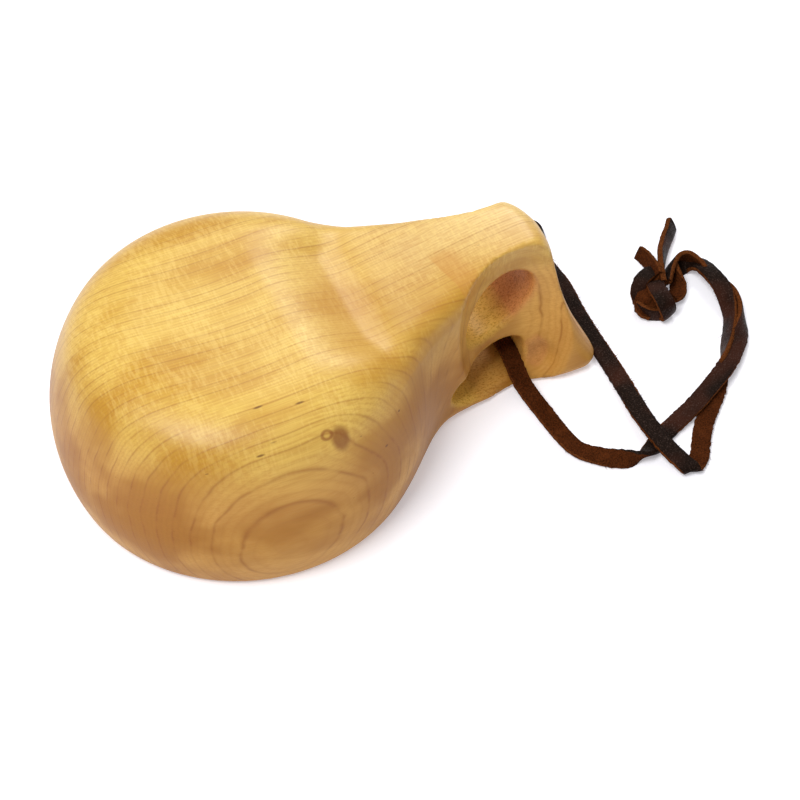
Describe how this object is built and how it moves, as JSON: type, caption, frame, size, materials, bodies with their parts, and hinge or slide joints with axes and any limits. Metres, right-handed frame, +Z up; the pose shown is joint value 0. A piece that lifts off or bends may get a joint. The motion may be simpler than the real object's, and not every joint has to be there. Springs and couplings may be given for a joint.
{
  "type": "wooden cup",
  "caption": "Carved wooden drinking cup with a finger-hole grip and a knotted flat leather lace, lying mouth down.",
  "frame": {"origin": "on the surface that the cup stands on, in the middle of the cup's length and width", "axes": "+X along the grip, away from the bowl; +Z up, from the rim to the flat base, so the cup lies mouth down; the cup is symmetric across Y"},
  "size_m": [0.1975, 0.114, 0.0515],
  "materials": {
    "wood": "oiled and waxed light birch, semi-gloss",
    "lace": "dark brown grain side, rust-brown suede flesh side"
  },
  "bodies": {
    "root": {"cup": "wood", "lace_near": "lace", "lace_far": "lace", "lace_knot": "lace", "lace_tail_long": "lace", "lace_tail_short": "lace"}
  },
  "joints": []
}
